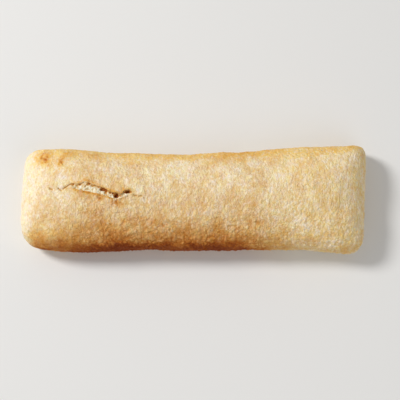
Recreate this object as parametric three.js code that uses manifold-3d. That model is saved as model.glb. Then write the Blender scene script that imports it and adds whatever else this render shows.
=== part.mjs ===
// Ciabatta: a long, low, slipper-shaped loaf, baked as one piece, with a tear in its top crust.
//
// Units are millimetres. +X runs along the loaf, +Y to its back and +Z up. The origin is on the
// flat underside, at the middle of the loaf's length and width.
//
// The loaf starts as a box cut into a grid. Each grid point is moved to the place it has on the
// loaf: the side faces take the bulging flank, and the top face takes the low crown. The tear is
// then cut out of the top with a boolean.
import * as THREE from "three";
import { mergeVertices } from "three/addons/utils/BufferGeometryUtils.js";
import Module from "manifold-3d";

// Driving dimensions of the whole loaf.
const LENGTH = 305;
const WIDTH = 97;
const HEIGHT = 48;

// How many faces the box has along, across and up the loaf.
const GRID = { along: 46, across: 20, up: 8 };
const CORNER_CROWDING = 0.78; // how much closer the grid lines across the loaf lie at its corners

// The flank, from the underside to the widest height (the belly) and on to the shoulder.
const BELLY_HEIGHT = 16;
const SHOULDER_HEIGHT = 43;
const FOOT_INSET = 7;
const SHOULDER_INSET = 22;
const BELLY_SHARE = 0.4; // the share of the flank's grid rows that lies below the belly
const SHOULDER_TURN = THREE.MathUtils.degToRad(56); // how far the flank has turned in at the shoulder
const FLANK_FULLNESS = 0.86; // below 1, the flank stands fuller than an ellipse
const END_SLOPE = 1.2; // the two ends turn in this many times as far as the long sides

// The crown: the rise of the top from its shoulder to its middle.
const CROWN_RISE = HEIGHT - SHOULDER_HEIGHT;
const CROWN_SWELLS = [
  { at: -96, rise: 0.7, spread: 34 },
  { at: -22, rise: -1.3, spread: 30 },
  { at: 66, rise: 0.9, spread: 42 },
];

// The corner radii of the outline, seen from above, and how much they grow from belly to shoulder.
const CORNERS = {
  leftBack: 12.5,
  leftFront: 18.5,
  rightBack: 9,
  rightFront: 14,
};
const CORNER_GROWTH = 0.35;

// The long edges, seen from above: the loaf is waisted, and a little wider at its right end.
const BACK_EDGE = edge([
  [-152, 44.4],
  [-118, 45.6],
  [-103, 44.4],
  [-85, 42.4],
  [-62, 41.2],
  [-10, 40.6],
  [45, 43],
  [100, 46.8],
  [152, 48.9],
]);
const FRONT_EDGE = edge([
  [-152, -45],
  [-128, -45.4],
  [-100, -46.3],
  [-70, -45.6],
  [-47, -44.6],
  [-8, -44.9],
  [48, -44.6],
  [92, -44.7],
  [120, -47.2],
  [152, -49.6],
]);

// The left end is bowed, and stands out most a little to the front. The right end leans, and
// stands out most at its back.
const LEFT_BOW = { at: -0.27, towardsBack: 2.3, towardsFront: 8.5 };
const RIGHT_LEAN = 4.5;

// The tear in the top crust, as two lips that meet at both ends, and how far down it opens.
const TEAR_DEPTH = 6.5;
const TEAR_BACK_LIP = [
  [-112.5, 4.6],
  [-105.4, 8.9],
  [-99.6, 9.3],
  [-93.2, 11.2],
  [-85.4, 8],
  [-78.6, 5.2],
  [-72, 1.8],
  [-66.7, 0.4],
  [-63.4, -0.6],
  [-59.6, 2.5],
  [-55.6, 3.1],
  [-51.6, 0.6],
];
const TEAR_FRONT_LIP = [
  [-58.4, -1.9],
  [-62.6, -3.9],
  [-66.6, -5],
  [-73.6, -3.2],
  [-79.2, -1.3],
  [-85.3, 0.2],
  [-92.7, 1.6],
  [-98.4, 2.9],
  [-104.2, 4],
  [-105.8, 6.7],
];

const CRUST = new THREE.MeshStandardMaterial({
  color: 0xdfae68,
  roughness: 0.85,
  metalness: 0,
});

// One long edge of the outline, as a smooth function from x to y.
function edge(points) {
  const curve = new THREE.SplineCurve(
    points.map(([x, y]) => new THREE.Vector2(x, y)),
  );
  const samples = curve.getPoints(120);
  return (x) => {
    const next = samples.findIndex((p) => p.x >= x);
    if (next < 1) return samples[next < 0 ? samples.length - 1 : 0].y;
    const [a, b] = [samples[next - 1], samples[next]];
    return a.y + ((b.y - a.y) * (x - a.x)) / (b.x - a.x);
  };
}

// The flank at a share of its way up, from 0 at the underside to 1 at the shoulder.
function flank(share) {
  if (share < BELLY_SHARE) {
    const turn = ((share / BELLY_SHARE) * Math.PI) / 2;
    return {
      inset: FOOT_INSET * (1 - Math.sin(turn) ** FLANK_FULLNESS),
      height: BELLY_HEIGHT * (1 - Math.cos(turn)),
    };
  }
  const turn = ((share - BELLY_SHARE) / (1 - BELLY_SHARE)) * SHOULDER_TURN;
  return {
    inset:
      (SHOULDER_INSET * (1 - Math.cos(turn))) / (1 - Math.cos(SHOULDER_TURN)),
    height:
      BELLY_HEIGHT +
      (SHOULDER_HEIGHT - BELLY_HEIGHT) *
        (Math.sin(turn) / Math.sin(SHOULDER_TURN)) ** FLANK_FULLNESS,
  };
}

// Where the outline, drawn in by an inset, has the grid point (u, v); u and v run from -1 to 1.
function plan(u, gridV, inset) {
  const v = gridV + (CORNER_CROWDING * Math.sin(Math.PI * gridV)) / Math.PI;
  const end = u < 0 ? "left" : "right";
  const corner = CORNERS[end + (v < 0 ? "Front" : "Back")];
  const radius = corner + CORNER_GROWTH * inset;
  const halfWidth = WIDTH / 2 - inset;
  const intoCorner = Math.max(
    0,
    Math.abs(v) * halfWidth - (halfWidth - radius),
  );
  const rounding = radius - Math.sqrt(Math.max(0, radius ** 2 - intoCorner ** 2));
  const bow = v < LEFT_BOW.at ? LEFT_BOW.towardsFront : LEFT_BOW.towardsBack;
  const lean =
    end === "left" ? bow * (v - LEFT_BOW.at) ** 2 : RIGHT_LEAN * (0.5 - v / 2);
  const x = u * (LENGTH / 2 - END_SLOPE * inset - rounding - lean);
  const edgeY = v < 0 ? FRONT_EDGE(x) : BACK_EDGE(x);
  return { x, y: Math.abs(v) * (edgeY - Math.sign(v) * inset), v };
}

// How far the top stands above the shoulder at the grid point (u, v).
function crown(u, v, x) {
  const dome = (1 - v ** 2) * (1 - u ** 4);
  const swell = CROWN_SWELLS.reduce(
    (sum, s) => sum + s.rise * Math.exp(-(((x - s.at) / s.spread) ** 2)),
    0,
  );
  return dome * (CROWN_RISE + swell);
}

// The whole loaf before it tears, as a closed mesh with its vertices merged.
function loafGeometry() {
  const box = new THREE.BoxGeometry(
    2,
    2,
    2,
    GRID.along,
    GRID.across,
    GRID.up,
  );
  box.deleteAttribute("normal");
  box.deleteAttribute("uv");
  const geometry = mergeVertices(box);
  const position = geometry.attributes.position;
  for (let i = 0; i < position.count; i++) {
    const [u, v, w] = [position.getX(i), position.getY(i), position.getZ(i)];
    const side = flank((w + 1) / 2);
    const place = plan(u, v, side.inset);
    const rise = w === 1 ? crown(u, place.v, place.x) : 0;
    position.setXYZ(i, place.x, place.y, side.height + rise);
  }
  fitToSize(geometry);
  return geometry;
}

// Brings the loaf to its exact size, with the origin at the middle of its underside.
function fitToSize(geometry) {
  geometry.computeBoundingBox();
  const { min, max } = geometry.boundingBox;
  geometry.translate(-(min.x + max.x) / 2, -(min.y + max.y) / 2, -min.z);
  geometry.scale(
    LENGTH / (max.x - min.x),
    WIDTH / (max.y - min.y),
    HEIGHT / (max.z - min.z),
  );
}

// The space that the tear opens: a leaf-shaped prism that reaches down from above the crown.
function tearGeometry() {
  const outline = new THREE.Shape();
  const [start, ...back] = TEAR_BACK_LIP.map(([x, y]) => new THREE.Vector2(x, y));
  outline.moveTo(start.x, start.y);
  outline.splineThru(back);
  outline.splineThru([
    ...TEAR_FRONT_LIP.map(([x, y]) => new THREE.Vector2(x, y)),
    start,
  ]);
  const prism = new THREE.ExtrudeGeometry(outline, {
    depth: HEIGHT,
    bevelEnabled: false,
    curveSegments: 3,
  });
  prism.translate(0, 0, HEIGHT - TEAR_DEPTH);
  prism.deleteAttribute("normal");
  prism.deleteAttribute("uv");
  return mergeVertices(prism);
}

// Cuts one closed geometry out of another.
async function subtract(geometry, cutter) {
  const wasm = await Module();
  wasm.setup();
  const solid = (g) =>
    new wasm.Manifold(
      new wasm.Mesh({
        numProp: 3,
        vertProperties: new Float32Array(g.attributes.position.array),
        triVerts: new Uint32Array(g.index.array),
      }),
    );
  const cut = solid(geometry).subtract(solid(cutter)).getMesh();
  const result = new THREE.BufferGeometry();
  result.setAttribute(
    "position",
    new THREE.BufferAttribute(cut.vertProperties, 3),
  );
  result.setIndex(new THREE.BufferAttribute(cut.triVerts, 1));
  result.computeVertexNormals();
  return result;
}

const loaf = new THREE.Mesh(
  await subtract(loafGeometry(), tearGeometry()),
  CRUST,
);
loaf.name = "ciabatta_loaf";

const ciabatta = new THREE.Group();
ciabatta.add(loaf);

export default ciabatta;
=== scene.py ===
import itertools
import math

import bmesh
import bpy
import numpy as np
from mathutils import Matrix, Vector


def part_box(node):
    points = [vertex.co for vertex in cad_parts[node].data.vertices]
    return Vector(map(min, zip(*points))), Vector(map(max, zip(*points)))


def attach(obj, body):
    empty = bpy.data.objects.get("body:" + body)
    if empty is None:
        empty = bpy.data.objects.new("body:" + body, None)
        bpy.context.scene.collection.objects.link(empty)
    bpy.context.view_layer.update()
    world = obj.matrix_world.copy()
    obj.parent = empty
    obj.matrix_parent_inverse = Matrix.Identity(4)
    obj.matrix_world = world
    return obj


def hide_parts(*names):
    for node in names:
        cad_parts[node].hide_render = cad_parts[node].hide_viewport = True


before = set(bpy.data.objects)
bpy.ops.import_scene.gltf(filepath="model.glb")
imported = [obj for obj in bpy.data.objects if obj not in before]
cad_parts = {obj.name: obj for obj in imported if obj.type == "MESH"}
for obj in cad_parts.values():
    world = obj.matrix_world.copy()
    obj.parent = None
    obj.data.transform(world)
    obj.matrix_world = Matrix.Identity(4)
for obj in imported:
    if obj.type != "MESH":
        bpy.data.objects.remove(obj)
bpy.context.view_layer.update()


# ---------------------------------------------------------------- Camera
# The loaf is looked down on from almost straight above, a little from its front, with a long lens.
# It fills most of the frame's width, and lies a little left of the middle.
CAMERA_ELEVATION = math.radians(80)
LENS_MM = 100
FRAME_FILL = 0.866  # the share of the frame's width that the loaf takes
LEFT_OF_MIDDLE = 0.017  # how far the loaf lies left of the middle, as a share of its length
ABOVE_MIDDLE = 0.01  # how far it lies above the middle, as a share of its width
AIM_HEIGHT = 0.4  # how far up the loaf the camera aims, as a share of its height

loaf_low, loaf_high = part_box("ciabatta_loaf")
loaf_length = loaf_high.x - loaf_low.x
loaf_width = loaf_high.y - loaf_low.y

camera_data = bpy.data.cameras.new("camera")
camera_data.lens = LENS_MM
camera = bpy.data.objects.new("camera", camera_data)
bpy.context.scene.collection.objects.link(camera)
bpy.context.scene.camera = camera

aim = Vector((LEFT_OF_MIDDLE * loaf_length, -ABOVE_MIDDLE * loaf_width, AIM_HEIGHT * loaf_high.z))
towards_camera = Vector((0, -math.cos(CAMERA_ELEVATION), math.sin(CAMERA_ELEVATION)))
camera_distance = loaf_length / FRAME_FILL * camera_data.lens / camera_data.sensor_width
camera.location = aim + towards_camera * camera_distance
camera.rotation_euler = (-towards_camera).to_track_quat("-Z", "Y").to_euler()


# ---------------------------------------------------------------- The dough
# One piece of slack, wet dough, set down on its flat foot and baked. Its shape is the solid's own:
# a copy is merged, the plain pocket of the tear is closed, and the skin is made fine and smooth.
MM = 0.001
SAME_POINT = 0.02 * MM  # corners closer together than this are one point
POCKET_DEPTH = 6.5 * MM  # the solid's plain pocket ends this far below its highest point
LEVEL = 0.01 * MM  # how exactly the floor of the pocket lies at that depth
UPRIGHT = 0.2  # a face whose normal rises less than this is a wall of the pocket
SKIN_PITCH = 1.5 * MM  # half of it after the subdivision
SKIN_SMOOTHING = 14

bm = bmesh.new()
bm.from_mesh(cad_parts["ciabatta_loaf"].data)
bmesh.ops.remove_doubles(bm, verts=bm.verts, dist=SAME_POINT)

floor_height = loaf_high.z - POCKET_DEPTH
pocket_floor = {f for f in bm.faces if all(abs(v.co.z - floor_height) < LEVEL for v in f.verts)}
back_lip, front_lip = [], []
for face in pocket_floor:
    for loop in face.loops:
        if loop.link_loop_radial_next.face not in pocket_floor:
            ends = [tuple(loop.vert.co.xy / MM), tuple(loop.link_loop_next.vert.co.xy / MM)]
            lip = front_lip if ends[1][0] > ends[0][0] else back_lip
            lip += ends
back_lip, front_lip = sorted(set(back_lip)), sorted(set(front_lip))
tear_left, lip_left = back_lip[0]
tear_right = back_lip[-1][0]

pocket = newest = set(pocket_floor)
while newest:
    beside = {g for f in newest for e in f.edges for g in e.link_faces}
    newest = {f for f in beside - pocket if abs(f.normal.z) < UPRIGHT}
    pocket = pocket | newest
bmesh.ops.delete(bm, geom=[f for f in bm.faces if f in pocket], context="FACES")
bmesh.ops.holes_fill(bm, edges=[e for e in bm.edges if e.is_boundary], sides=0)
bmesh.ops.triangulate(bm, faces=[f for f in bm.faces if len(f.verts) > 4])
dough_mesh = bpy.data.meshes.new("dough")
bm.to_mesh(dough_mesh)
bm.free()

dough = bpy.data.objects.new("dough", dough_mesh)
bpy.context.scene.collection.objects.link(dough)
remesh = dough.modifiers.new("even_skin", "REMESH")
remesh.mode = "VOXEL"
remesh.voxel_size = SKIN_PITCH
smooth = dough.modifiers.new("slack_skin", "SMOOTH")
smooth.factor = 0.5
smooth.iterations = SKIN_SMOOTHING
subdivide = dough.modifiers.new("fine_skin", "SUBSURF")
subdivide.levels = subdivide.render_levels = 1
loaf_mesh = bpy.data.meshes.new_from_object(
    dough.evaluated_get(bpy.context.evaluated_depsgraph_get())
)
bpy.data.objects.remove(dough)


def lips_at(x):
    """Where the tear's back and front lips lie at x, all in millimetres."""
    return np.interp(x, *zip(*back_lip)), np.interp(x, *zip(*front_lip))


# The skin round the tear is made finer still, because the lips of the tear are thin.
FINER_MARGINS = ((3.5, 1.2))  # how far past the lips, in millimetres
CROWN_ABOVE = 35  # the height above which the skin belongs to the crown
PAST_LEFT = 9  # how far the finer skin runs on past the tear's left end, for its cracks
PAST_RIGHT = 6  # and past its right end

bm = bmesh.new()
bm.from_mesh(loaf_mesh)
for margin in FINER_MARGINS:
    near_tear = []
    for face in bm.faces:
        x, y, z = face.calc_center_median() / MM
        to_back, to_front = lips_at(x)
        if (
            z > CROWN_ABOVE
            and tear_left - PAST_LEFT - margin < x < tear_right + PAST_RIGHT + margin
            and to_front - margin < y < to_back + margin
        ):
            near_tear.append(face)
    cut_edges = list(dict.fromkeys(e for f in near_tear for e in f.edges))
    bmesh.ops.subdivide_edges(bm, edges=cut_edges, cuts=1, use_grid_fill=True)
bmesh.ops.triangulate(bm, faces=[f for f in bm.faces if len(f.verts) > 4])
bm.to_mesh(loaf_mesh)
bm.free()


# ---------------------------------------------------------------- The crust
# The skin that dried and set in the oven: it swells over gas bubbles, wrinkles where it shrank and
# creases low on the sides, where the dough sagged. The foot is flat, with a few pits left by steam.
def points_of(mesh):
    flat = np.empty(3 * len(mesh.vertices), np.float32)
    mesh.vertices.foreach_get("co", flat)
    return flat.reshape(-1, 3).astype(float) / MM


def normals_of(mesh):
    flat = np.empty(3 * len(mesh.vertices), np.float32)
    mesh.vertex_normals.foreach_get("vector", flat)
    return flat.reshape(-1, 3).astype(float)


def fit_to_solid(points):
    """The points, brought to the solid's exact box."""
    low, high = np.array(loaf_low) / MM, np.array(loaf_high) / MM
    share = (points - points.min(0)) / (points.max(0) - points.min(0))
    return low + share * (high - low)


def bumpiness(points, size, seed):
    """Smooth bumps, mostly from -1 to 1 high and of this size; the size may differ by axis."""
    directions = 4096
    slopes = np.random.default_rng(seed).normal(size=(directions, 3))
    slopes /= np.linalg.norm(slopes, axis=1, keepdims=True)
    scaled = points / np.array(size) + 1000
    cell = np.floor(scaled).astype(np.int64)
    inside = scaled - cell
    fade = inside ** 3 * (inside * (inside * 6 - 15) + 10)
    total = np.zeros(len(points))
    for corner in itertools.product((0, 1), repeat=3):
        at = cell + corner
        key = at[:, 0] * 73856093 ^ at[:, 1] * 19349663 ^ at[:, 2] * 83492791
        slope = slopes[(key ^ key >> 13) % directions]
        weight = np.prod(np.where(corner, fade, 1 - fade), axis=1)
        total += weight * np.einsum("ij,ij->i", slope, inside - corner)
    return 1.7 * total


def rough_bumpiness(points, size, seed, layers=2):
    """Bumps with finer bumps laid over them, each layer half the size and half the strength."""
    size = np.array(size, float)
    return sum(bumpiness(points, size / 2 ** k, seed + k) / 2 ** k for k in range(layers))


def bent_aside(points, distance, size, seed):
    """The points, each moved a little this way or that, so that what follows them wavers."""
    bumps = [bumpiness(points, size, seed + k) for k in range(3)]
    return points + distance * np.stack(bumps, axis=1)


def ease(low, high, value):
    """0 below low, 1 above high, and a smooth rise between them."""
    share = np.clip((value - low) / (high - low), 0, 1)
    return share * share * (3 - 2 * share)


# Lengths on the skin are in millimetres, and x, y and z are where each point lay before it swelled.
SWELL_HEIGHT = 0.9
LUMP_HEIGHT = 0.42
WRINKLE_HEIGHT = 1.35
STREAK_HEIGHT = 0.14
CREASE_HEIGHT = 0.9
WRINKLE_FLOOR = 0.35  # the wrinkle that leaves the skin where it was

skin = fit_to_solid(points_of(loaf_mesh))
normal = normals_of(loaf_mesh)
x, y, z = skin.T
up = np.clip(normal[:, 2], 0, 1)
under = np.clip(-normal[:, 2], 0, 1)
flank = 1 - np.abs(normal[:, 2])
above_foot = ease(1, 9, z)

swells = SWELL_HEIGHT * rough_bumpiness(skin, size=(44, 30, 26), seed=11)
lumps = LUMP_HEIGHT * rough_bumpiness(skin, size=(15, 12, 12), seed=21)
wavy_skin = bent_aside(skin, distance=1.3, size=6, seed=31)

# The leathery wrinkle is strongest low on the front, and weak at the left end and on the right.
leather_strength = 0.42 + 0.4 * ease(0, 34, -y) + 0.25 * bumpiness(skin, size=22, seed=35)
leather_strength *= (0.4 + 0.6 * ease(-140, -60, x)) * (1 - 0.3 * ease(20, 90, x))
wrinkles = np.abs(bumpiness(wavy_skin, size=(3.0, 5.2, 3.6), seed=41))
wrinkles = wrinkles + 0.5 * np.abs(bumpiness(wavy_skin, size=(1.8, 2.8, 2.2), seed=42))
streaks = bumpiness(wavy_skin, size=(2.4, 11, 9), seed=45)
creases = CREASE_HEIGHT * (0.3 - np.abs(bumpiness(wavy_skin, size=(24, 20, 6.5), seed=61))) * flank
rise = swells + lumps + WRINKLE_HEIGHT * leather_strength * (wrinkles - WRINKLE_FLOOR)
rise = rise + STREAK_HEIGHT * streaks * up + creases

# The blisters: small bubbles that rose under the skin, anywhere above the foot.
BLISTERS = 110
LOWEST_BLISTER = 14
chance = np.random.default_rng(7)
blister_spots = skin[chance.choice(np.flatnonzero(z > LOWEST_BLISTER), BLISTERS)]
blister_radii = chance.uniform(1.2, 3.6, BLISTERS)
blister_heights = chance.uniform(0.1, 0.45, BLISTERS)
blisters = np.zeros(len(skin))
for spot, radius, height in zip(blister_spots, blister_radii, blister_heights):
    apart = np.sum((skin - spot) ** 2, axis=1) / radius ** 2
    blisters += height * np.exp(-apart ** 1.4)
rise = above_foot * (rise + blisters)
points = skin + normal * rise[:, None]

# The foot: a wavering edge where the dough met the tray, and shallow steam pits under it.
FOOT_WAVER = 0.7
PIT_DEPTH = 0.9
TRAY_GRAIN = 0.05
FLAT_UNDERSIDE = 0.7  # the skin faces down at least this far where the tray held it flat
waver = (1 - above_foot) * (1 - under) * FOOT_WAVER * bumpiness(skin, size=(13, 13, 40), seed=71)
points[:, :2] += normal[:, :2] * waver[:, None]
pits = ease(0.30, 0.75, bumpiness(skin, size=6.5, seed=81)) * PIT_DEPTH
pits = pits + TRAY_GRAIN * bumpiness(skin, size=2.2, seed=83)
points[:, 2] = np.where(under > FLAT_UNDERSIDE, np.maximum(0, pits) * under, points[:, 2])


# ---------------------------------------------------------------- The tear
# The crust split as the loaf rose. The back lip lifts and hangs a little over the gap, pale crumb
# slopes up from under it to the thin, toasted front lip, and a few gas holes show in the crumb.

# Each gas hole: its share of the way along the tear, its share of the way from the front lip to the
# back one, half its length, half its width, and its depth.
GAS_HOLES = (
    (0.555, 0.74, 3.4, 1.9, 1.7),
    (0.745, 0.54, 2.8, 2.7, 3.2),
    (0.70, 0.80, 1.2, 0.9, 1.2),
    (0.66, 0.84, 1.0, 0.7, 0.9),
    (0.815, 0.45, 1.0, 0.8, 1.1),
    (0.905, 0.62, 4.6, 1.9, 0.9),
    (0.905, 0.66, 2.2, 1.1, 1.7),
)
# Each fine crack: the points it runs through, measured from the tear's left end.
CRACKS = (
    ((-12.0, 0.2), (-10.0, -0.6)),
    ((-4.4, 0.1), (-2.0, -2.0)),
    ((-0.4, -0.2), (3.4, 2.2), (7.2, 4.4)),
    ((60.6, -6.1), (63.2, -6.8)),
    ((65.0, -7.1), (67.8, -6.8)),
)
CRACK_DEPTH = 1.2
CRACK_HALF_WIDTH = 0.7
BACK_LIP_LIFT = 0.7
FRONT_LIP_LIFT = 0.5
STRAND_HEIGHT = 2.0  # how far the strands of the crumb stand up from its hollows

jag = 0.35 * bumpiness(skin, size=2.6, seed=91) + 0.25 * bumpiness(skin, size=1.1, seed=92)
back_at, front_at = lips_at(x)
back_at, front_at = back_at + jag, front_at + 0.8 * jag
gape = np.maximum(back_at - front_at, 0.01)
on_top = ease(0.5, 0.8, up)
in_span = ease(tear_left - 0.5, tear_left + 1, x) * (1 - ease(tear_right - 1, tear_right + 0.5, x))
in_span *= on_top
into = np.minimum(back_at - y, y - front_at)  # how far inside the nearer lip
across = np.clip((y - front_at) / gape, 0, 1)  # from 0 at the front lip to 1 at the back one
along_tear = (x - tear_left) / (tear_right - tear_left)  # from 0 at its left end to 1 at its right
slack = 0.5 + 1.7 * ease(0.1, 0.2, along_tear) * (1 - ease(0.36, 0.56, along_tear))
gap = ease(-0.2, slack, back_at - y) * ease(-0.2, 0.5, y - front_at) * in_span
reach = ease(0.5, 6, gape)  # how wide open the tear is, from 0 to 1

# The crumb: strands pulled out between the lips, with the deepest of it under the back lip.
wavy_crumb = bent_aside(skin, distance=0.8, size=3, seed=95)
strands = 1 - np.abs(bumpiness(wavy_crumb, size=4.6, seed=101))
strands = strands - 0.35 * np.abs(bumpiness(wavy_crumb, size=2.3, seed=102))
back_drop = ease(0.1, 0.75, across) * (0.2 + 0.8 * ease(0.35, 0.6, along_tear))
depth = gap * (0.4 + 1.5 * reach) * (0.15 + 0.85 * back_drop)
depth += gap * ease(0.2, 1.2, into) * STRAND_HEIGHT * (0.74 - strands)

# The gas holes: round mouths with a ragged edge. The deeper a hole is, the darker its painted shade.
ragged_edge = 0.22 * bumpiness(skin, size=1.3, seed=105)
painted_hole_shade = np.zeros(len(skin))
for along_share, across_share, half_length, half_width, hole_depth in GAS_HOLES:
    hole_x = tear_left + along_share * (tear_right - tear_left)
    hole_back, hole_front = lips_at(hole_x)
    hole_y = hole_front + across_share * (hole_back - hole_front)
    apart = np.hypot((x - hole_x) / half_length, (y - hole_y) / half_width)
    bite = (1 - ease(0.45, 1.05, apart + ragged_edge)) * on_top
    depth += hole_depth * bite
    painted_hole_shade = np.maximum(painted_hole_shade, bite * min(1, 0.55 + hole_depth / 6))

# The cracks: narrow grooves along each run.
crack = np.zeros(len(skin))
for run in CRACKS:
    for (x0, y0), (x1, y1) in zip(run, run[1:]):
        x0, x1, y0, y1 = x0 + tear_left, x1 + tear_left, y0 + lip_left, y1 + lip_left
        along = ((x - x0) * (x1 - x0) + (y - y0) * (y1 - y0)) / ((x1 - x0) ** 2 + (y1 - y0) ** 2)
        along = np.clip(along, 0, 1)
        apart = np.hypot(x - x0 - along * (x1 - x0), y - y0 - along * (y1 - y0) + 0.9 * jag)
        crack = np.maximum(crack, on_top * np.exp(-(apart / CRACK_HALF_WIDTH) ** 2))
depth += CRACK_DEPTH * crack

# The lips: both stand up in a ridge, and the back one hangs a little over the gap.
past_back, past_front = y - back_at, front_at - y
beside_gap = (1 - gap) * in_span
back_ridge = np.exp(-(np.maximum(past_back, 0) / 2.6) ** 2) * beside_gap * (past_back > -1)
front_ridge = np.exp(-(np.maximum(past_front, 0) / 1.2) ** 2) * beside_gap * (past_front > -1)
points[:, 2] += BACK_LIP_LIFT * reach * back_ridge + FRONT_LIP_LIFT * reach * front_ridge - depth
hang = np.exp(-(past_back / 1.2) ** 2) * in_span * reach
points[:, 1] += hang * (0.3 * np.clip(depth / 2.5, 0, 1) - 0.2)

# The crust sank a little in front of the second gas hole.
DENT_DEPTH = 0.4
dent_along = (x - tear_left - 46.5) / 5.6
dent_across = (y - lip_left + 13.0) / 3.3
dent = np.exp(-(dent_along ** 2 + dent_across ** 2) ** 1.4) * on_top
points[:, 2] -= DENT_DEPTH * dent

points = fit_to_solid(points)
loaf_mesh.vertices.foreach_set("co", (points * MM).astype(np.float32).ravel())
loaf_mesh.update()


# ---------------------------------------------------------------- The bake, with painted light
# How the oven coloured the loaf, and where light and shade are painted into it: the front foot faced
# the hot side, the left end stayed pale, and the blisters at the left end's back corner caught the
# heat.
# The skin keeps five measures, from 0 to about 1: its toast with painted shade and highlight, dust
# of flour, bare crumb, golden glow, and the painted shade in the hollows of the tear.

# Each browned spot: where it lies, how far it spreads, and how brown it is. The first are measured
# from the left end and the back, and the second from the tear's left end.
CORNER_SPOTS = (
    (19.5, 13.5, 6.0, 0.62),
    (22.5, 17.0, 4.0, 0.40),
    (27.0, 22.0, 3.0, 0.28),
    (24.0, 9.0, 6.0, 0.20),
    (36.4, 20.4, 2.6, 0.68),
    (36.9, 16.0, 2.4, 0.46),
    (41.0, 12.0, 3.6, 0.28),
    (46.5, 10.0, 4.2, 0.22),
    (31.5, 15.0, 4.0, 0.12),
)
TEAR_SPOTS = (
    (31.4, -8.8, 2.2, 0.56),
    (14.5, -3.6, 1.6, 0.24),
    (15.5, -5.2, 2.2, 0.18),
    (50.5, -1.4, 2.8, 0.22),
    (45.5, 1.4, 4.5, 0.10),
    (22.0, 6.0, 2.6, 0.14),
    (45.0, -14.5, 8.0, 0.10),
    (57.5, -3.4, 3.2, 0.14),
)
TOAST_SLOWS_AT = 0.68  # above this the crust darkens ever more slowly
TOAST_ROOM = 0.21  # and by no more than this

# Most borders between two shades drift to and fro.
drift = 4 * bumpiness(skin, size=(19, 12, 12), seed=205)
drift = drift + 2 * bumpiness(skin, size=(6, 5, 5), seed=206)
frontward = -y + drift
leftward = -x + drift
left_end, back_side = skin[:, 0].min(), skin[:, 1].max()
hot_side = ease(-178, -60, x) * (1 - 0.95 * ease(30, 94, x))
pale_right = ease(40, 98, x)

# The top: tan and mottled, browner to the front and paler at the back.
toast_and_painted_light = 0.22 + 0.10 * rough_bumpiness(skin, size=(24, 19, 19), seed=201)
toast_and_painted_light = toast_and_painted_light + 0.09 * rough_bumpiness(skin, size=(8, 13, 13), seed=211)
toast_and_painted_light += 0.14 * ease(-10, 30, frontward) * (1 - 0.9 * pale_right) - 0.06 * pale_right
toast_and_painted_light -= 0.05 * ease(-90, -30, x) * ease(-40, -20, y)

# The front: two bands, each browner than the one behind it.
toast_and_painted_light += (0.06 + 0.20 * hot_side - 0.06 * pale_right) * ease(18, 42, frontward)
toast_and_painted_light += (0.12 + 0.30 * hot_side - 0.12 * pale_right) * ease(37, 49, -y + 0.4 * drift)

# The left end: pale, partly from a lighter bake and partly as a painted highlight where the light
# from the left falls, with a browner front corner, a paler stretch beside that corner, and a floury
# patch behind the tear.
toast_and_painted_light -= 0.15 * ease(86, 136, leftward) + 0.18 * ease(138, 150, -x)
front_corner = np.exp(-((x - left_end - 22) / 13) ** 2) * ease(27, 39, -y + 0.5 * drift)
pale_front = np.exp(-((x - left_end - 68) / 22) ** 2) * ease(34, 42, -y)
toast_and_painted_light += 0.19 * front_corner - 0.05 * pale_front
floury_patch = np.exp(-((x - tear_left - 5) / 13) ** 2 - ((y - lip_left - 9) / 4.5) ** 2)
toast_and_painted_light -= 0.11 * floury_patch

# The golden glow: all along the back, round the left end, and over the right.
back_face = ease(0.45, 0.9, normal[:, 1] + 0.02 * drift)
golden = back_face * ease(7, 25, z)
golden = golden * (0.8 + 0.5 * ease(-95, -40, x)) * (1 - 0.6 * ease(132, 146, -x))
left_ring = 0.42 * ease(88, 116, -x) * (1 - 0.7 * ease(138, 150, -x))
left_ring = left_ring * ease(16, 34, np.abs(y + 2)) * (1 - 0.7 * ease(36, 44, -y))
golden += left_ring
golden += 0.4 * pale_right
toast_and_painted_light += back_face * (0.02 + 0.10 * ease(-80, -30, x))

# The browned spots, each with a golden glow.
spots = [(left_end + inward, back_side - forward, *rest) for inward, forward, *rest in CORNER_SPOTS]
spots += [(tear_left + along, lip_left + backward, *rest) for along, backward, *rest in TEAR_SPOTS]
mottling = 0.9 + 0.6 * bumpiness(skin, size=2.2, seed=221)
for spot_x, spot_y, radius, strength in spots:
    apart = np.hypot(x - spot_x, y - spot_y) / radius
    spot = strength * np.exp(-apart ** 2) * mottling * up ** 0.3
    toast_and_painted_light += 0.8 * spot
    golden += 1.2 * spot

# The relief: blisters caught the heat, and the dent is browned as painted shade. The raised folds
# are paler than the creases between them, partly flour left on the folds and partly painted shade in
# the creases. The foot stayed pale, and the lowest front of the hot side is darkened as a painted
# shadow where the loaf meets the floor.
toast_and_painted_light += 0.20 * dent + 0.08 * blisters - 0.18 * ease(-15, -4, -z)
toast_and_painted_light -= 0.22 * (wrinkles - WRINKLE_FLOOR) * leather_strength
toast_and_painted_light += 0.08 * hot_side * ease(-30, -20, -z) * ease(44.5, 48, -y)
toast_and_painted_light += 0.06 * rough_bumpiness(skin, size=(11, 8, 7), seed=241, layers=3) * ease(0.45, 0.65, toast_and_painted_light)
slowed = TOAST_SLOWS_AT + TOAST_ROOM * np.tanh((toast_and_painted_light - TOAST_SLOWS_AT) / TOAST_ROOM)
toast_and_painted_light = np.where(toast_and_painted_light > TOAST_SLOWS_AT, slowed, np.maximum(toast_and_painted_light, 0))

# The flour: streaks of it across the loaf, least on the front, the right and the darkest crust.
dust = 0.5 + 0.6 * rough_bumpiness(skin, size=(6, 16, 16), seed=231, layers=3)
dust = dust - 0.7 * ease(12, 40, -y) + 0.4 * floury_patch
dust = np.clip(dust, 0, 1) * (1 - 0.7 * ease(0.5, 0.9, toast_and_painted_light)) * (1 - 0.6 * pale_right)
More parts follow.
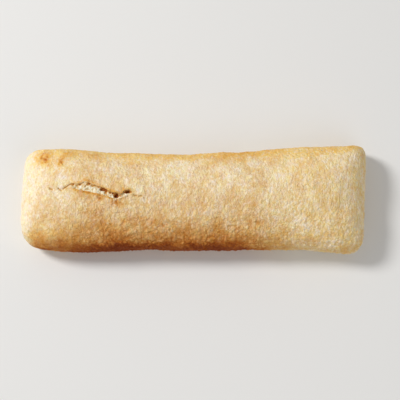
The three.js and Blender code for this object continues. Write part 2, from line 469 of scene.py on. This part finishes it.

# The tear: its two rims toasted and shone. Painted shade darkens its crumb towards the back lip,
# between its strands, in its holes and in its cracks.
crumb = np.clip(gap * ease(0.0, 0.5, into) + 0.2 * crack, 0, 1)
crumb = crumb * (1 - 0.4 * ease(0.84, 0.93, along_tear))
rim = 1.5 * np.exp(-((past_front - 0.4) / 1.05) ** 2)
rim *= ease(0.08, 0.18, along_tear) * (1 - ease(0.6, 0.72, along_tear))
rim += (0.45 + 0.3 * ease(0.3, 0.6, along_tear)) * np.exp(-((past_back - 0.6) / 1.1) ** 2)
golden += rim * reach * in_span
toast_and_painted_light += 0.26 * np.clip(rim, 0, 1) * reach * in_span
golden = np.clip(golden, 0, 1)
back_lip_shade = ease(0.4, 0.95, across + 0.3 * bumpiness(wavy_crumb, size=3.2, seed=107)) * reach
painted_hollow_shade = 0.42 * back_lip_shade * gap + 0.5 * gap * ease(0.68, 0.3, strands)
painted_hollow_shade = np.clip(np.maximum(painted_hollow_shade, painted_hole_shade) + 0.42 * crack, 0, 1)

bake_and_painted_light = {"toast_and_painted_light": toast_and_painted_light, "dust": dust, "crumb": crumb, "golden": golden, "painted_hollow_shade": painted_hollow_shade}
for measure, values in bake_and_painted_light.items():
    layer = loaf_mesh.attributes.new(measure, "FLOAT", "POINT")
    layer.data.foreach_set("value", values.astype(np.float32))

# The finished loaf, thinned out where it has more triangles than it needs.
loaf = bpy.data.objects.new("loaf", loaf_mesh)
bpy.context.scene.collection.objects.link(loaf)
loaf_mesh.polygons.foreach_set("use_smooth", [True] * len(loaf_mesh.polygons))

MOST_TRIANGLES = 195000
triangles = sum(len(p.vertices) - 2 for p in loaf_mesh.polygons)
if triangles > MOST_TRIANGLES:
    thin = loaf.modifiers.new("thin_out", "DECIMATE")
    thin.ratio = MOST_TRIANGLES / triangles
    thinned = bpy.data.meshes.new_from_object(
        loaf.evaluated_get(bpy.context.evaluated_depsgraph_get())
    )
    loaf.modifiers.clear()
    loaf.data = thinned


# ---------------------------------------------------------------- The baked finish
# Matt, dry crust that runs from floury cream through tan to dark brown, with a fine mottled grain
# whose thin creases are partly painted shade, flour caught in patches, a golden glow at its edges,
# and pale crumb in the tear with brown painted shade in its hollows.
CRUST_SHADES = (
    (0.00, (254, 239, 208)),  # floury cream
    (0.15, (243, 216, 168)),
    (0.30, (233, 194, 136)),  # pale tan
    (0.45, (222, 168, 100)),
    (0.60, (205, 136, 64)),  # toasted
    (0.75, (178, 98, 32)),
    (0.88, (136, 57, 10)),  # dark brown
    (1.00, (84, 30, 2)),
)
GOLDEN_SHADES = (
    (0.15, (251, 212, 128)),
    (0.45, (238, 180, 86)),
    (0.75, (192, 106, 32)),
)
PAINTED_HOLLOW_SHADES = (
    (0.0, (228, 198, 142)),
    (0.45, (212, 160, 86)),
    (0.7, (190, 116, 44)),
    (1.0, (128, 58, 14)),
)
FLOUR = (247, 228, 196)
TAN_CRUMB = (231, 205, 154)
WHITE_CRUMB = (254, 248, 224)
COOL_TINT = (1.0, 0.985, 1.14, 1)
WARM_TINT = (1.0, 1.0, 0.84, 1)

baked_crust = bpy.data.materials.new("baked_crust")
baked_crust.use_nodes = True
tree = baked_crust.node_tree
tree.nodes.clear()


def linear(shade):
    """A shade given as 0 to 255 in sRGB, as the linear colour that a shader takes."""
    channels = [((c / 255 + 0.055) / 1.055) ** 2.4 if c > 10 else c / 255 / 12.92 for c in shade]
    return (*channels, 1)


def feed(socket, value):
    """Links the socket to another node's output, or sets it to a fixed value."""
    if isinstance(value, bpy.types.NodeSocket):
        tree.links.new(value, socket)
    else:
        socket.default_value = value


def node(kind, **inputs):
    made = tree.nodes.new("ShaderNode" + kind)
    for name, value in inputs.items():
        feed(made.inputs[name], value)
    return made


def measure_of(name):
    """One of the measures that the bake and the painted light left on the skin."""
    made = node("Attribute")
    made.attribute_name = name
    return made.outputs["Fac"]


def maths(operation, a, b=0.0, clamp=False):
    """One step of arithmetic; with clamp, its result is kept from 0 to 1."""
    made = node("Math")
    made.operation = operation
    made.use_clamp = clamp
    feed(made.inputs[0], a)
    feed(made.inputs[1], b)
    return made.outputs[0]


def about_middle(speckles, strength):
    """Speckles brought to lie above and below zero, at this strength."""
    return maths("MULTIPLY", maths("SUBTRACT", speckles, 0.5), strength)


def blend(share, under_colour, over_colour, kind="MIX"):
    """One colour laid over another, at this share from 0 to 1."""
    made = node("Mix")
    made.data_type = "RGBA"
    made.blend_type = kind
    for index, value in ((0, share), (6, under_colour), (7, over_colour)):
        feed(made.inputs[index], value)
    return made.outputs[2]


def eased(value, low, high):
    """The same smooth rise as ease, made of a node."""
    made = node("MapRange", Value=value, **{"From Min": low, "From Max": high})
    made.interpolation_type = "SMOOTHSTEP"
    return made.outputs[0]


def speckle(vector, scale, detail, roughness=0.6, distortion=0.0):
    """Fine speckles, with this many to a metre."""
    made = node("TexNoise", Vector=vector, Scale=scale, Detail=detail, Roughness=roughness)
    made.inputs["Distortion"].default_value = distortion
    return made.outputs["Fac"]


def shades(value, stops):
    """The colour that a value has among these stops, each a value and its shade."""
    made = node("ValToRGB", Fac=value)
    elements = made.color_ramp.elements
    while len(elements) < len(stops):
        elements.new(0.5)
    for element, (position, shade) in zip(elements, stops):
        element.position = position
        element.color = linear(shade)
    return made.outputs["Color"]


# The grain runs a little across the loaf, so its pattern is stretched that way.
coordinates = node("TexCoord").outputs["Object"]
stretched = node("Mapping", Vector=coordinates, Scale=(1.0, 0.7, 1.0)).outputs[0]
fine = speckle(stretched, scale=520, detail=2.5, roughness=0.65)
finer = speckle(coordinates, scale=1150, detail=2.0)
broad = speckle(stretched, scale=170, detail=3.0)
folds = speckle(stretched, scale=330, detail=1.5, distortion=0.8)
folds = maths("MULTIPLY", maths("ABSOLUTE", maths("SUBTRACT", folds, 0.5)), 5.0, clamp=True)

# The crust: its toast and painted light, mottled by the grain, and less so where it is dark.
mottle = about_middle(fine, 0.55)
mottle = maths("ADD", mottle, about_middle(finer, 0.34))
mottle = maths("ADD", mottle, about_middle(broad, 0.42))
# The thin creases between the folds are browned and the folds paled: partly flour left on the folds,
# partly painted shade in the creases.
mottle = maths("ADD", mottle, maths("MULTIPLY", maths("SUBTRACT", 0.35, folds), 0.13))
evenness = maths("SUBTRACT", 1.1, measure_of("toast_and_painted_light"))
browning_and_painted_light = maths("ADD", measure_of("toast_and_painted_light"), maths("MULTIPLY", mottle, evenness), clamp=True)
crust_colour = shades(browning_and_painted_light, CRUST_SHADES)

# The flour, the golden glow, and a faint drift between cooler and warmer patches.
flour_patches = eased(speckle(stretched, scale=430, detail=3.0, roughness=0.7), 0.48, 0.64)
flour_cover = maths("MULTIPLY", measure_of("dust"), flour_patches)
flour_cover = maths("MULTIPLY", flour_cover, 0.85, clamp=True)
crust_colour = blend(flour_cover, crust_colour, linear(FLOUR))
gilding = maths("MULTIPLY", measure_of("golden"), eased(fine, 0.25, 0.6), clamp=True)
crust_colour = blend(gilding, crust_colour, shades(browning_and_painted_light, GOLDEN_SHADES))
warmth = eased(speckle(stretched, scale=230, detail=4.0, roughness=0.7), 0.32, 0.68)
crust_colour = blend(1.0, crust_colour, blend(warmth, COOL_TINT, WARM_TINT), "MULTIPLY")

# The tear: pale crumb, and brown painted shade in its hollows.
crumb_colour = blend(eased(fine, 0.38, 0.6), linear(TAN_CRUMB), linear(WHITE_CRUMB))
bread_colour = blend(measure_of("crumb"), crust_colour, crumb_colour)
painted_hollow_shade_colour = shades(measure_of("painted_hollow_shade"), PAINTED_HOLLOW_SHADES)
bread_colour = blend(eased(measure_of("painted_hollow_shade"), 0.0, 0.4), bread_colour, painted_hollow_shade_colour)

# The bread itself: matt and dry, a little see-through, with the finest grain as relief.
grain = maths("ADD", maths("MULTIPLY", finer, 0.5), fine)
grain = maths("ADD", maths("MULTIPLY", folds, 0.35), grain)
relief = node("Bump", Height=grain, Strength=0.9, Distance=0.0011)
bread = node("BsdfPrincipled", Normal=relief.outputs[0], **{"Base Color": bread_colour})
bread.inputs["Roughness"].default_value = 0.72
bread.inputs["Specular IOR Level"].default_value = 0.12
bread.inputs["Subsurface Weight"].default_value = 0.05
bread.inputs["Subsurface Radius"].default_value = (1.0, 0.5, 0.25)
bread.inputs["Subsurface Scale"].default_value = 0.002
node("OutputMaterial", Surface=bread.outputs[0])

loaf.data.materials.clear()
loaf.data.materials.append(baked_crust)
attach(loaf, "root")
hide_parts("ciabatta_loaf")


# ---------------------------------------------------------------- Studio
# A plain pale floor just clear of the foot, and soft light: a large key light at the left and
# behind, and a weak one in front.
FLOOR_HALF_SIZE = 3
FLOOR_GAP = 0.1 * MM
FLOOR_PAINT = (0.82, 0.81, 0.79, 1)
DAYLIGHT = 0.38


def area_light(name, location, size, watts):
    light = bpy.data.lights.new(name, "AREA")
    light.shape = "DISK"
    light.size = size
    light.energy = watts
    lamp = bpy.data.objects.new(name, light)
    lamp.location = location
    lamp.rotation_euler = (-Vector(location)).to_track_quat("-Z", "Y").to_euler()
    bpy.context.scene.collection.objects.link(lamp)


area_light("key", location=(-1.75, 0.83, 1.75), size=0.7, watts=48)
area_light("fill", location=(0.5, -0.7, 0.9), size=0.9, watts=2)

bm = bmesh.new()
bmesh.ops.create_grid(bm, x_segments=1, y_segments=1, size=FLOOR_HALF_SIZE)
floor_mesh = bpy.data.meshes.new("floor")
bm.to_mesh(floor_mesh)
bm.free()
floor = bpy.data.objects.new("floor", floor_mesh)
floor.location.z = -FLOOR_GAP
bpy.context.scene.collection.objects.link(floor)
pale_paint = bpy.data.materials.new("pale_floor")
pale_paint.use_nodes = True
floor_shader = pale_paint.node_tree.nodes["Principled BSDF"]
floor_shader.inputs["Base Color"].default_value = FLOOR_PAINT
floor_shader.inputs["Roughness"].default_value = 0.9
floor_mesh.materials.append(pale_paint)

studio = bpy.data.worlds.new("studio")
bpy.context.scene.world = studio
studio.use_nodes = True
daylight = studio.node_tree.nodes["Background"]
daylight.inputs["Color"].default_value = (1, 1, 1, 1)
daylight.inputs["Strength"].default_value = DAYLIGHT
bpy.context.scene.view_settings.view_transform = "Standard"
